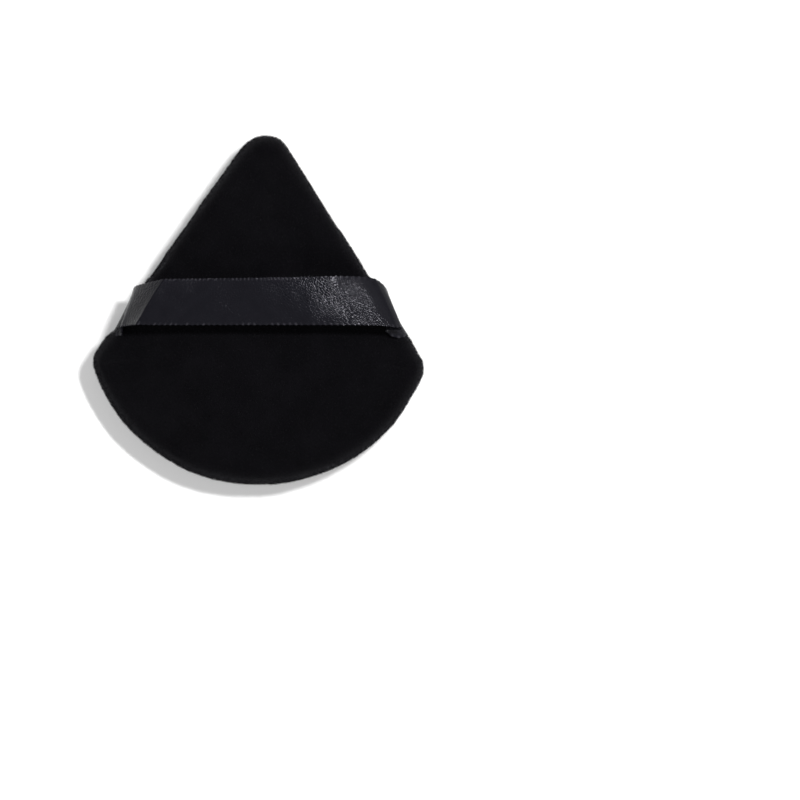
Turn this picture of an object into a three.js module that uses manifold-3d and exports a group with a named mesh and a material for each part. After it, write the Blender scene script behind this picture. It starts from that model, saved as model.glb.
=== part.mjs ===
// A fan-shaped velour powder puff with a ribbon strap, lying on its working face.
// Millimetres, +Z up, +Y towards the pointed tip, X across, the rest plane at z = 0.
import * as THREE from "three";
import { mergeVertices } from "three/addons/utils/BufferGeometryUtils.js";
import Module from "manifold-3d";

const wasm = await Module();
wasm.setup();

// The puff seen from above
const puffLength = 74.7;
const tipHalfAngle = THREE.MathUtils.degToRad(33.65);
const tipRadius = 5.7;
const cornerRadius = 4.2;
const baseRadius = 37.2;

// The puff's section, with heights counted up and down from the seam
const seamHeight = 6.0;
const edgeWidth = 3.4;
const bulgeHeight = 1.6;
const seamInset = 1.6;
const backShoulderHeight = 5.0;
const backCrown = 1.3;
const faceShoulderHeight = 5.1;
const faceCrown = 1.4;
const crownCentreFromBase = 29.5;

// Cloth, seam and foam
const clothThickness = 1.2;
const seamGap = 0.3;
const foamGap = 0.3;
const allowanceInset = 3.4;
const allowanceWidth = 1.4;
const foamGrooveGap = 0.45;

// Ribbon
const ribbonWidth = 10.0;
const ribbonThickness = 0.35;
const ribbonFromTip = 35.7;
const ribbonFootShift = 1.9;
const ribbonDrop = 0.6;
const ribbonTailLength = 4.4;
const ribbonTailInset = 0.25;
const ribbonClearance = 0.25;
const ribbonCutGap = 0.3;
const fingerClearance = 5.5;
const strapRise = 0.4;
const strapFlatHalfWidth = 20.5;
const strapMiddleHalfWidth = 8.0;
const sideBulgeAtTipEdge = 1.9;
const sideBulgeAtBaseEdge = 0.65;
const sideBulgeHeight = 9.5;
const shoulderPull = 6.0;

// Threads
const seamThreadDiameter = 0.4;
const seamThreadInset = 0.88;
const fineThreadDiameter = 0.26;
const turningGapWidth = 30.0;
const turningGapEndGap = 0.8;
const closingStitchInset = 0.55;
const closingStitchReach = 0.28;
const closingStitchPitch = 2.4;
const closingStitchTurnShare = 0.25;
const tackThreadHeight = 0.14;
const tackStitchLength = 1.5;
const tackStitchFromSilhouette = 2.2;
const tackStitchMargin = 0.6;
const tackStitchCount = 9;

// Fineness of the faceting
const tipSteps = 10;
const sideSteps = 9;
const cornerSteps = 6;
const baseSteps = 20;
const edgeSteps = 3;
const crownSteps = 3;
const threadSides = 6;
const ribbonStretchSteps = [4, 8, 3];
const ribbonAcrossSteps = 4;
const strapMiddleSteps = 4;
const slopeStep = 1e-3;

// Places that follow from the sizes above
const tipY = puffLength / 2;
const sharpTipY = tipY + tipRadius / Math.sin(tipHalfAngle) - tipRadius;
const baseCentreY = baseRadius - puffLength / 2;
const crownCentre = new THREE.Vector2(0, crownCentreFromBase - puffLength / 2);
const backHeight = backShoulderHeight + backCrown;
const strapHeight = seamHeight + backHeight + fingerClearance + ribbonThickness / 2;
const tailHeight = seamHeight - ribbonDrop;
const strapY = tipY - ribbonFromTip;

const sideNormal = new THREE.Vector2(Math.cos(tipHalfAngle), Math.sin(tipHalfAngle));
const alongSide = new THREE.Vector2(-sideNormal.y, sideNormal.x);
const strapFootY = strapY - ribbonFootShift;
const strapFoot = new THREE.Vector2((sharpTipY - strapFootY) * Math.tan(tipHalfAngle), strapFootY);

// Centre of the rounding that touches the right side and the base arc from inside
function cornerCentre() {
  const inward = cornerRadius / sideNormal.x;
  const slope = Math.tan(tipHalfAngle);
  const depth = sharpTipY - baseCentreY;
  const reach = baseRadius - cornerRadius;
  const a = 1 + slope * slope;
  const b = slope * inward + depth;
  const c = inward * inward + depth * depth - reach * reach;
  const fromTip = (b + Math.sqrt(b * b - a * c)) / a;
  return new THREE.Vector2(fromTip * slope - inward, sharpTipY - fromTip);
}

// Points round the outline, moved inwards by an inset. The roundings keep their centres.
function outline(inset) {
  const corner = cornerCentre();
  const tip = new THREE.Vector2(0, tipY - tipRadius);
  const base = new THREE.Vector2(0, baseCentreY);
  const turn = Math.atan2(corner.y - base.y, corner.x);
  const points = [];
  const arc = (centre, radius, from, to, steps) => {
    for (let i = 0; i < steps; i += 1) {
      const angle = from + ((to - from) * i) / steps;
      const outward = new THREE.Vector2(Math.cos(angle), Math.sin(angle));
      points.push(outward.multiplyScalar(radius - inset).add(centre));
    }
  };
  const side = (start, end) => {
    for (let i = 0; i < sideSteps; i += 1) {
      points.push(start.clone().lerp(end, i / sideSteps));
    }
  };
  const touch = (centre, radius) => sideNormal.clone().multiplyScalar(radius - inset).add(centre);
  const mirrored = (point) => new THREE.Vector2(-point.x, point.y);
  side(touch(corner, cornerRadius), touch(tip, tipRadius));
  arc(tip, tipRadius, tipHalfAngle, Math.PI - tipHalfAngle, tipSteps);
  side(mirrored(touch(tip, tipRadius)), mirrored(touch(corner, cornerRadius)));
  arc(mirrored(corner), cornerRadius, Math.PI - tipHalfAngle, Math.PI - turn, cornerSteps);
  arc(base, baseRadius, Math.PI - turn, Math.PI * 2 + turn, baseSteps);
  arc(corner, cornerRadius, turn, tipHalfAngle, cornerSteps);
  return points;
}

// A closed body through level rings, each { inset, share, height }. The ends with share 0 are its poles.
function ringBody(stations, direction) {
  const count = tipSteps + 2 * sideSteps + 2 * cornerSteps + baseSteps;
  const vertices = [];
  const faces = [];
  const starts = [];
  for (const { inset, share, height } of stations) {
    starts.push(vertices.length);
    const z = seamHeight + direction * height;
    const ring = share > 0 ? outline(inset) : [crownCentre];
    for (const point of ring) {
      const place = crownCentre.clone().lerp(point, share);
      vertices.push(new THREE.Vector3(place.x, place.y, z));
    }
  }
  for (let level = 0; level + 1 < stations.length; level += 1) {
    for (let i = 0; i < count; i += 1) {
      const next = (i + 1) % count;
      const low = starts[level];
      const high = starts[level + 1];
      const lowPole = stations[level].share === 0;
      const highPole = stations[level + 1].share === 0;
      if (!lowPole) {
        faces.push([low + i, highPole ? high : high + i, low + next]);
      }
      if (!highPole) {
        faces.push([lowPole ? low : low + next, high + i, high + next]);
      }
    }
  }
  return bodyGeometry(vertices, faces);
}

// Joins points and faces into a geometry whose faces point out
function bodyGeometry(vertices, faces) {
  const volume = faces.reduce((sum, [a, b, c]) => {
    return sum + vertices[a].dot(vertices[b].clone().cross(vertices[c]));
  }, 0);
  const ordered = volume > 0 ? faces : faces.map(([a, b, c]) => [a, c, b]);
  const geometry = new THREE.BufferGeometry();
  const numbers = vertices.flatMap((vertex) => vertex.toArray());
  geometry.setAttribute("position", new THREE.Float32BufferAttribute(numbers, 3));
  geometry.setIndex(ordered.flat());
  return geometry;
}

// The left piece made from the right one
function mirrorX(geometry) {
  const mirrored = geometry.clone().scale(-1, 1, 1);
  const index = [...mirrored.index.array];
  for (let i = 0; i < index.length; i += 3) {
    [index[i + 1], index[i + 2]] = [index[i + 2], index[i + 1]];
  }
  mirrored.setIndex(index);
  return mirrored;
}

function solid(geometry) {
  const bare = geometry.clone();
  bare.deleteAttribute("normal");
  bare.deleteAttribute("uv");
  const merged = mergeVertices(bare);
  return new wasm.Manifold(new wasm.Mesh({
    numProp: 3,
    vertProperties: merged.attributes.position.array,
    triVerts: Uint32Array.from(merged.index.array),
  }));
}

function geometryOf(manifold) {
  const { vertProperties, triVerts } = manifold.getMesh();
  const geometry = new THREE.BufferGeometry();
  geometry.setAttribute("position", new THREE.Float32BufferAttribute(vertProperties, 3));
  geometry.setIndex([...triVerts]);
  return geometry;
}

// Stations over a crowned face, from its middle to its shoulder. A crown that reaches the flat stops there.
function crownStations({ shoulder, crown, flat, inset, drop }) {
  const flatShare = shoulder + crown > flat ? Math.sqrt(1 - (flat - shoulder) / crown) : 0;
  const shares = [0];
  if (flatShare > 0) {
    shares.push(flatShare / 2, flatShare);
  }
  const steps = flatShare > 0 ? crownSteps - 2 : crownSteps;
  for (let i = 1; i <= steps; i += 1) {
    shares.push(flatShare + ((1 - flatShare) * i) / steps);
  }
  return shares.map((share) => ({
    inset,
    share,
    height: Math.min(flat, shoulder + crown * (1 - share * share)) - drop,
  }));
}

// Stations round an edge: a quarter ellipse from the shoulder down to the fullest part of the side
function edgeStations(width, centreInset, centreHeight, rise) {
  const stations = [];
  for (let i = 1; i <= edgeSteps; i += 1) {
    const angle = (Math.PI / 2) * (1 - i / edgeSteps);
    stations.push({
      inset: centreInset - width * Math.cos(angle),
      share: 1,
      height: centreHeight + rise * Math.sin(angle),
    });
  }
  return stations;
}

// One cover: a dish of cloth with its seam allowance turned in, its opening inside the pad
function coverGeometry({ shoulder, crown, flat, direction }) {
  const seamAngle = Math.acos((edgeWidth - seamInset) / edgeWidth);
  const tuck = (bulgeHeight - seamGap / 2) / Math.sin(seamAngle);
  const halfTuckInset = edgeWidth * (1 - Math.cos(seamAngle / 2));
  const innerHeight = seamGap / 2 + clothThickness;
  const innerEdge = edgeStations(
    edgeWidth - clothThickness,
    edgeWidth,
    bulgeHeight,
    shoulder - bulgeHeight - clothThickness,
  ).slice(0, -1);
  const allowance = { inset: allowanceInset, share: allowanceShare(allowanceWidth) };
  const innerCrown = crownStations({ shoulder, crown, flat, inset: edgeWidth, drop: clothThickness });
  return ringBody([
    ...crownStations({ shoulder, crown, flat, inset: edgeWidth, drop: 0 }),
    ...edgeStations(edgeWidth, edgeWidth, bulgeHeight, shoulder - bulgeHeight),
    { inset: halfTuckInset, share: 1, height: bulgeHeight - tuck * Math.sin(seamAngle / 2) },
    { inset: seamInset, share: 1, height: seamGap / 2 },
    { ...allowance, height: seamGap / 2 },
    { ...allowance, height: innerHeight },
    { inset: clothThickness, share: 1, height: innerHeight },
    ...innerEdge.reverse(),
    ...innerCrown.reverse(),
  ], direction);
}

// The share that draws the inset ring in by a further width at the middle of a side
function allowanceShare(width) {
  const reach = (sharpTipY - crownCentre.y) * Math.sin(tipHalfAngle) - allowanceInset;
  return 1 - width / reach;
}

const backSection = { shoulder: backShoulderHeight, crown: backCrown, flat: backHeight };
const faceSection = { shoulder: faceShoulderHeight, crown: faceCrown, flat: seamHeight };

// The foam fills both covers and is grooved all round for their turned-in allowances
function foamGeometry() {
  const drop = clothThickness + foamGap;
  const grooveHeight = seamGap / 2 + clothThickness + foamGap;
  const half = ({ shoulder, crown, flat }) => [
    ...crownStations({ shoulder, crown, flat, inset: edgeWidth, drop }),
    ...edgeStations(edgeWidth - drop, edgeWidth, bulgeHeight, shoulder - bulgeHeight - drop).slice(0, -1),
    { inset: drop, share: 1, height: grooveHeight },
    { inset: allowanceInset, share: allowanceShare(allowanceWidth + foamGrooveGap), height: grooveHeight },
  ];
  const lower = half(faceSection).map((station) => ({ ...station, height: -station.height }));
  return ringBody([...half(backSection), ...lower.reverse()], 1);
}

// A strip of ribbon: a grid of places along it and across it, thickened both ways
function ribbonGeometry(placeAt, stations) {
  const across = Array.from({ length: ribbonAcrossSteps + 1 }, (_, i) => -1 + (2 * i) / ribbonAcrossSteps);
  const vertices = [];
  for (const layer of [1, -1]) {
    for (const u of stations) {
      for (const v of across) {
        const along = placeAt(u + slopeStep, v).sub(placeAt(u - slopeStep, v));
        const sideways = placeAt(u, v + slopeStep).sub(placeAt(u, v - slopeStep));
        const normal = sideways.cross(along).normalize();
        vertices.push(placeAt(u, v).addScaledVector(normal, (layer * ribbonThickness) / 2));
      }
    }
  }
  const row = across.length;
  const layerSize = stations.length * row;
  const faces = [];
  const quad = (a, b, c, d) => faces.push([a, b, c], [a, c, d]);
  for (let i = 0; i + 1 < stations.length; i += 1) {
    for (let j = 0; j + 1 < row; j += 1) {
      const corner = i * row + j;
      quad(corner, corner + 1, corner + row + 1, corner + row);
      const under = layerSize + corner;
      quad(under, under + row, under + row + 1, under + 1);
    }
    for (const [edge, flip] of [[0, false], [row - 1, true]]) {
      const a = i * row + edge;
      const sides = [a, a + row, layerSize + a + row, layerSize + a];
      quad(...(flip ? sides.reverse() : sides));
    }
  }
  for (let j = 0; j + 1 < row; j += 1) {
    quad(j + 1, j, layerSize + j, layerSize + j + 1);
    const last = (stations.length - 1) * row + j;
    quad(last, last + 1, layerSize + last + 1, layerSize + last);
  }
  return bodyGeometry(vertices, faces);
}

// Height of the strap's flat stretch, a little higher in the middle
function strapArch(x) {
  return strapHeight + strapRise * (1 - (x / strapFlatHalfWidth) ** 2);
}

// The right side of the strap: out of the seam, up past the pad's edge, and over to the flat stretch.
// u runs 0 to 1 up to the fullest place, 1 to 2 over the shoulder and 2 to 3 along the flat.
function sidePlace(u, v) {
  const half = ribbonWidth / 2;
  const foot = strapFoot.clone().addScaledVector(alongSide, half * v);
  const bulge = THREE.MathUtils.lerp(sideBulgeAtBaseEdge, sideBulgeAtTipEdge, (v + 1) / 2);
  const start = ribbonCutGap - ribbonTailInset;
  const outside = foot.clone().addScaledVector(sideNormal, bulge);
  if (u <= 1) {
    const angle = (Math.PI / 2) * u;
    const out = start + (bulge - start) * Math.sin(angle);
    const place = foot.addScaledVector(sideNormal, out);
    const height = sideBulgeHeight - (sideBulgeHeight - tailHeight) * Math.cos(angle);
    return new THREE.Vector3(place.x, place.y, height);
  }
  const flatY = strapY + half * v;
  if (u <= 2) {
    const rise = strapHeight - sideBulgeHeight;
    return new THREE.CubicBezierCurve3(
      new THREE.Vector3(outside.x, outside.y, sideBulgeHeight),
      new THREE.Vector3(outside.x, outside.y, sideBulgeHeight + rise / 2),
      new THREE.Vector3(strapFlatHalfWidth + shoulderPull, flatY, strapHeight),
      new THREE.Vector3(strapFlatHalfWidth, flatY, strapHeight),
    ).getPoint(u - 1);
  }
  const x = THREE.MathUtils.lerp(strapFlatHalfWidth, strapMiddleHalfWidth + ribbonCutGap / 2, u - 2);
  return new THREE.Vector3(x, flatY, strapArch(x));
}

function strapSideGeometry() {
  const stations = [];
  ribbonStretchSteps.forEach((steps, stretch) => {
    for (let i = 0; i < steps; i += 1) {
      stations.push(stretch + i / steps);
    }
  });
  stations.push(ribbonStretchSteps.length);
  return ribbonGeometry(sidePlace, stations);
}

function strapMiddleGeometry() {
  const halfWidth = strapMiddleHalfWidth - ribbonCutGap / 2;
  const place = (u, v) => {
    return new THREE.Vector3(halfWidth * u, strapY + (ribbonWidth / 2) * v, strapArch(halfWidth * u));
  };
  const stations = Array.from({ length: strapMiddleSteps + 1 }, (_, i) => -1 + (2 * i) / strapMiddleSteps);
  return ribbonGeometry(place, stations);
}

// A straight block on the right seam, lying square to it at the strap's foot
function blockAtSeam(insetFrom, insetTo, width, low, high) {
  const geometry = new THREE.BoxGeometry(insetTo - insetFrom, width, high - low);
  geometry.translate(-(insetFrom + insetTo) / 2, 0, (low + high) / 2);
  geometry.rotateZ(tipHalfAngle);
  return geometry.translate(strapFoot.x, strapFoot.y, 0);
}

function strapEndGeometry() {
  const half = ribbonThickness / 2;
  return blockAtSeam(ribbonTailInset, ribbonTailLength, ribbonWidth, tailHeight - half, tailHeight + half);
}

// The working-face cover gives way to the ribbon's two ends, which lie in its seam allowance
function faceCoverGeometry() {
  const floor = tailHeight - ribbonThickness / 2 - ribbonClearance;
  const pocket = blockAtSeam(
    -edgeWidth,
    ribbonTailLength + ribbonClearance,
    ribbonWidth + 2 * ribbonClearance,
    floor,
    seamHeight,
  );
  const cover = solid(coverGeometry({ ...faceSection, direction: -1 }));
  return geometryOf(cover.subtract(solid(pocket)).subtract(solid(mirrorX(pocket))));
}

// A thread: a round tube with closed ends through a list of points
function threadGeometry(points, diameter, up) {
  const vertices = [];
  points.forEach((point, i) => {
    const before = points[Math.max(i - 1, 0)];
    const after = points[Math.min(i + 1, points.length - 1)];
    const along = after.clone().sub(before).normalize();
    const sideways = along.clone().cross(up).normalize();
    const upright = sideways.clone().cross(along).normalize();
    for (let k = 0; k < threadSides; k += 1) {
      const angle = (2 * Math.PI * k) / threadSides;
      vertices.push(point.clone()
        .addScaledVector(sideways, (diameter / 2) * Math.cos(angle))
        .addScaledVector(upright, (diameter / 2) * Math.sin(angle)));
    }
  });
  const faces = [];
  const last = (points.length - 1) * threadSides;
  for (let i = 0; i + 1 < points.length; i += 1) {
    for (let k = 0; k < threadSides; k += 1) {
      const a = i * threadSides + k;
      const b = i * threadSides + ((k + 1) % threadSides);
      faces.push([a, b, b + threadSides], [a, b + threadSides, a + threadSides]);
    }
  }
  for (let k = 1; k + 1 < threadSides; k += 1) {
    faces.push([0, k + 1, k], [last, last + k, last + k + 1]);
  }
  return bodyGeometry(vertices, faces);
}

// A place on the base arc, by its angle from straight down
function basePlace(angle, inset, height) {
  const radius = baseRadius - inset;
  const y = baseCentreY - radius * Math.cos(angle);
  return new THREE.Vector3(radius * Math.sin(angle), y, seamHeight + height);
}

// The seam thread runs all round but for the turning gap in the middle of the base
function seamThreadGeometry() {
  const gapAngle = (turningGapWidth / 2 + turningGapEndGap) / baseRadius;
  const firstStep = seamThreadDiameter / baseRadius;
  const points = outline(seamThreadInset).map((place) => new THREE.Vector3(place.x, place.y, seamHeight));
  const bottom = points.reduce((lowest, place, i) => (place.y < points[lowest].y ? i : lowest), 0);
  const ordered = [...points.slice(bottom), ...points.slice(0, bottom)];
  const angleOf = (place) => Math.abs(Math.atan2(place.x, baseCentreY - place.y));
  const kept = ordered.filter((place) => angleOf(place) > gapAngle + firstStep);
  const path = [
    basePlace(gapAngle, seamThreadInset, 0),
    ...kept,
    basePlace(-gapAngle, seamThreadInset, 0),
  ];
  return threadGeometry(path, seamThreadDiameter, new THREE.Vector3(0, 0, 1));
}

// The closing stitches zigzag across the seam, from one cover to the other
function closingStitchesGeometry() {
  const count = Math.round(turningGapWidth / closingStitchPitch) * 2;
  const gapAngle = turningGapWidth / 2 / baseRadius;
  const points = [];
  for (let i = 0; i <= count; i += 1) {
    const angle = -gapAngle + (2 * gapAngle * i) / count;
    points.push(basePlace(angle, closingStitchInset, i % 2 ? closingStitchReach : -closingStitchReach));
  }
  const path = points.flatMap((point, i) => {
    if (i + 1 === points.length) {
      return [point];
    }
    return [0, closingStitchTurnShare, 1 - closingStitchTurnShare].map((share) => {
      return point.clone().lerp(points[i + 1], share);
    });
  });
  return threadGeometry(path, fineThreadDiameter, new THREE.Vector3(0, 1, 0));
}

// Tack stitches: a thread to and fro over the ribbon's right end, in its pocket
function tackStitchesGeometry() {
  const height = seamHeight - tackThreadHeight;
  const reach = ribbonWidth / 2 - tackStitchMargin;
  const points = [];
  for (let i = 0; i <= tackStitchCount; i += 1) {
    const along = -reach + (2 * reach * i) / tackStitchCount;
    for (const turn of i % 2 ? [1, 0] : [0, 1]) {
      const inset = tackStitchFromSilhouette + tackStitchLength * turn;
      const place = strapFoot.clone().addScaledVector(alongSide, along).addScaledVector(sideNormal, -inset);
      points.push(new THREE.Vector3(place.x, place.y, height));
    }
  }
  return threadGeometry(points, fineThreadDiameter, new THREE.Vector3(0, 0, 1));
}

const velour = () => new THREE.MeshStandardMaterial({ color: 0x17161a, roughness: 1.0, metalness: 0.0 });
const satin = () => new THREE.MeshStandardMaterial({ color: 0x242328, roughness: 0.4, metalness: 0.0 });
const thread = () => new THREE.MeshStandardMaterial({ color: 0x1c1b1f, roughness: 0.7, metalness: 0.0 });
const foam = () => new THREE.MeshStandardMaterial({ color: 0xe8e4da, roughness: 0.95, metalness: 0.0 });

const group = new THREE.Group();

function addNode(name, geometry, material) {
  const mesh = new THREE.Mesh(geometry, material);
  mesh.name = name;
  group.add(mesh);
}

addNode("face_cover", faceCoverGeometry(), velour());
addNode("back_cover", coverGeometry({ ...backSection, direction: 1 }), velour());
addNode("foam_core", foamGeometry(), foam());
addNode("seam_thread", seamThreadGeometry(), thread());
addNode("closing_stitches", closingStitchesGeometry(), thread());
addNode("strap_middle", strapMiddleGeometry(), satin());

const rightPieces = [
  ["strap_side", strapSideGeometry(), satin],
  ["strap_end", strapEndGeometry(), satin],
  ["tack_stitches", tackStitchesGeometry(), thread],
];
for (const [name, geometry, material] of rightPieces) {
  addNode(`${name}_right`, geometry, material());
  addNode(`${name}_left`, mirrorX(geometry), material());
}

export default group;
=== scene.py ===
"""Looks of a fan-shaped powder puff: velour covers with pile, a satin ribbon strap, threads."""
import math

import bpy
import numpy as np
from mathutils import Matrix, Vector, noise


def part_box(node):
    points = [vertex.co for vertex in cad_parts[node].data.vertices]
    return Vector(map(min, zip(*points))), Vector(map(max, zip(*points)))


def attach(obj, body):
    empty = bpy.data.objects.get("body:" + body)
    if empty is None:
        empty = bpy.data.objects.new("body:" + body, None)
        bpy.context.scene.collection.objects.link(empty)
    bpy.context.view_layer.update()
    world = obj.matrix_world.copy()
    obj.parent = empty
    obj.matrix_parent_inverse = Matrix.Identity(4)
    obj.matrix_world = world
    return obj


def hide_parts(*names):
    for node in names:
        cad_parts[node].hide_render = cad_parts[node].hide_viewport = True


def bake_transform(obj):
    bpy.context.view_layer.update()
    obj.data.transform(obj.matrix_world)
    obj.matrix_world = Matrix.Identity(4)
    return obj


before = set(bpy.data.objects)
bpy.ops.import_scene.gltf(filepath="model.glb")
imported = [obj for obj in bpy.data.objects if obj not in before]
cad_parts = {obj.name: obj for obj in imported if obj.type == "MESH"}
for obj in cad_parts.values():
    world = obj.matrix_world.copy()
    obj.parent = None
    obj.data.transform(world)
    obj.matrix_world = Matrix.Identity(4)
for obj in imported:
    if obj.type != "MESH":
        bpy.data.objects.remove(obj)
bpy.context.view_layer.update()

MM = 0.001
SEED = 7
TINY = 1e-9

# The puff seen from above, as in the solids
TIP_HALF_ANGLE = math.radians(33.65)
TIP_RADIUS = 5.7 * MM
CORNER_RADIUS = 4.2 * MM
BASE_RADIUS = 37.2 * MM
PUFF_LOW, PUFF_HIGH = (Vector(corner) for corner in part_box("back_cover"))
TIP_Y = PUFF_HIGH.y
BASE_Y = PUFF_LOW.y
SHARP_TIP_Y = TIP_Y + TIP_RADIUS / math.sin(TIP_HALF_ANGLE) - TIP_RADIUS
BASE_CENTRE_Y = BASE_Y + BASE_RADIUS
CROWN_CENTRE = np.array([0.0, BASE_Y + 29.5 * MM])

# The section, with heights counted from the seam
SEAM_Z = 6.0 * MM
EDGE_WIDTH = 3.4 * MM
BULGE_HEIGHT = 1.6 * MM
SEAM_INSET = 1.6 * MM
SEAM_HALF_GAP = 0.15 * MM
CLOTH = 1.2 * MM
ALLOWANCE_INSET = 3.4 * MM
ALLOWANCE_SHARE = 0.942
GROUND = 0.24 * MM
BACK = {"shoulder": 5.0 * MM, "crown": 1.3 * MM, "flat": 6.3 * MM}
FACE = {"shoulder": 5.1 * MM, "crown": 1.4 * MM, "flat": 6.0 * MM}
FOAM_DROP = CLOTH + 0.3 * MM
FOAM_GROOVE_SHARE = ALLOWANCE_SHARE - 0.02

# Points round each ring, and rings over each stretch of a section
TIP_STEPS, SIDE_STEPS, CORNER_STEPS, BASE_STEPS = 30, 88, 18, 150
RING_SIZE = TIP_STEPS + 2 * SIDE_STEPS + 2 * CORNER_STEPS + BASE_STEPS
CROWN_RINGS, EDGE_RINGS, SEAM_RINGS = 40, 16, 8
LINING_CROWN_RINGS, FOAM_CROWN_RINGS, INNER_EDGE_RINGS = 8, 14, 6
INNERMOST_SHARE = 0.02

# The ribbon's feet: where the strap is sewn into the sides
RIBBON_WIDTH = 10.0 * MM
RIBBON_Y = TIP_Y - 35.7 * MM
FOOT_Y = RIBBON_Y - 1.9 * MM
FOOT_X = (SHARP_TIP_Y - FOOT_Y) * math.tan(TIP_HALF_ANGLE)
SIDE_NORMAL = np.array([math.cos(TIP_HALF_ANGLE), math.sin(TIP_HALF_ANGLE)])
ALONG_SIDE = np.array([-SIDE_NORMAL[1], SIDE_NORMAL[0]])


def smoothstep(low, high, x):
    t = np.clip((np.asarray(x) - low) / (high - low), 0, 1)
    return t * t * (3 - 2 * t)


def unit(vectors):
    return vectors / np.linalg.norm(vectors, axis=-1, keepdims=True)


def corner_centre():
    """Centre of the rounding that touches the right side and the base arc from inside."""
    slope = math.tan(TIP_HALF_ANGLE)
    inward = CORNER_RADIUS / math.cos(TIP_HALF_ANGLE)
    depth = SHARP_TIP_Y - BASE_CENTRE_Y
    reach = BASE_RADIUS - CORNER_RADIUS
    a = 1 + slope * slope
    b = slope * inward + depth
    c = inward**2 + depth**2 - reach**2
    from_tip = (b + math.sqrt(b * b - a * c)) / a
    return np.array([from_tip * slope - inward, SHARP_TIP_Y - from_tip])


def outline(inset):
    """Points round the puff, moved inwards by inset. The roundings keep their centres."""
    corner = corner_centre()
    tip = np.array([0.0, TIP_Y - TIP_RADIUS])
    base = np.array([0.0, BASE_CENTRE_Y])
    turn = math.atan2(corner[1] - base[1], corner[0])
    mirror = np.array([-1.0, 1.0])

    def arc(centre, radius, start, stop, steps):
        angle = start + (stop - start) * np.arange(steps) / steps
        return centre + (radius - inset) * np.stack([np.cos(angle), np.sin(angle)], 1)

    def straight(start, stop):
        share = (np.arange(SIDE_STEPS) / SIDE_STEPS)[:, None]
        return start + (stop - start) * share

    low = corner + (CORNER_RADIUS - inset) * SIDE_NORMAL
    high = tip + (TIP_RADIUS - inset) * SIDE_NORMAL
    return np.concatenate([
        straight(low, high),
        arc(tip, TIP_RADIUS, TIP_HALF_ANGLE, math.pi - TIP_HALF_ANGLE, TIP_STEPS),
        straight(high * mirror, low * mirror),
        arc(
            corner * mirror, CORNER_RADIUS, math.pi - TIP_HALF_ANGLE, math.pi - turn, CORNER_STEPS
        ),
        arc(base, BASE_RADIUS, math.pi - turn, 2 * math.pi + turn, BASE_STEPS),
        arc(corner, CORNER_RADIUS, turn, TIP_HALF_ANGLE, CORNER_STEPS),
    ])


# A sewn outline is a little uneven: how far it stands out, in mm, by the direction in degrees from
# the crown's middle. The unevenness grows between two distances from that middle.
UNEVEN_ANGLES = (
    -28, -17, -6, -1, 4, 12, 27, 37, 46, 55, 69, 86, 90, 94, 98,
    112, 120, 127, 142, 160, 171, 176, 180, 188, 211, 223, 228, 234, 242, 270, 304, 316,
)
UNEVEN_REACH = (
    0.02, -0.10, 0.12, 0.42, 0.60, 0.45, 0.55, 0.66,
    0.48, 0.42, 0.20, 0.00, -0.26, -0.36, -0.06, 0.38,
    0.48, 0.36, 0.38, 0.40, 0.36, 0.24, 0.34, 0.26,
    0.40, 0.18, 0.08, 0.10, 0.18, -0.24, -0.14, -0.10,
)
UNEVEN_START, UNEVEN_FULL = 8 * MM, 26 * MM

# The strap draws the seam in over its own width, and a little upwards. The pinch is full up to a
# distance along the side and a height from the seam, and fades away to a second one.
PINCH_DEPTH_LEFT, PINCH_DEPTH_RIGHT = 1.15 * MM, 0.1 * MM
PINCH_REACH = 6.5 * MM
PINCH_ALONG_FULL, PINCH_ALONG_END = 4.4 * MM, 7.8 * MM
PINCH_TIPWARD_STRETCH = 1.15
PINCH_HEIGHT_FULL, PINCH_HEIGHT_END = 1.2 * MM, 4.6 * MM
PINCH_LIFT = 0.45 * MM
PINCH_LIFT_START, PINCH_LIFT_FULL = -4.5 * MM, -1.0 * MM


def side_frame(points):
    """Distances along and out of the side from the strap's nearer foot, and the side (1 or -1)."""
    side = np.where(points[:, 0] < 0, -1.0, 1.0)
    across = np.stack([points[:, 0] * side - FOOT_X, points[:, 1] - FOOT_Y], 1)
    return across @ ALONG_SIDE, across @ SIDE_NORMAL, side


def sewn(points):
    """Make points of the even body as uneven as sewn cloth, and pinch them at the strap's feet."""
    from_middle = points[:, :2] - CROWN_CENTRE
    reach = np.linalg.norm(from_middle, axis=1)
    angle = np.degrees(np.arctan2(from_middle[:, 1], from_middle[:, 0]))
    out_by = np.interp(angle, UNEVEN_ANGLES, UNEVEN_REACH, period=360) * MM
    out_by = out_by * smoothstep(UNEVEN_START, UNEVEN_FULL, reach)
    moved = points.copy()
    moved[:, :2] += from_middle / np.maximum(reach, TINY)[:, None] * out_by[:, None]
    along, out, side = side_frame(moved)
    along = np.where(along < 0, -along, along * PINCH_TIPWARD_STRETCH)
    height = moved[:, 2] - SEAM_Z
    weight = 1 - smoothstep(PINCH_ALONG_FULL, PINCH_ALONG_END, along)
    weight = weight * (1 - smoothstep(0, PINCH_REACH, -out))
    weight = weight * (1 - smoothstep(PINCH_HEIGHT_FULL, PINCH_HEIGHT_END, np.abs(height)))
    depth = np.where(side < 0, PINCH_DEPTH_LEFT, PINCH_DEPTH_RIGHT)
    inward = np.stack([-SIDE_NORMAL[0] * side, np.full(len(side), -SIDE_NORMAL[1])], 1)
    inward = inward * depth[:, None]
    lift = PINCH_LIFT * smoothstep(PINCH_LIFT_START, PINCH_LIFT_FULL, height)
    return moved + np.column_stack([inward, lift]) * weight[:, None]


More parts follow.
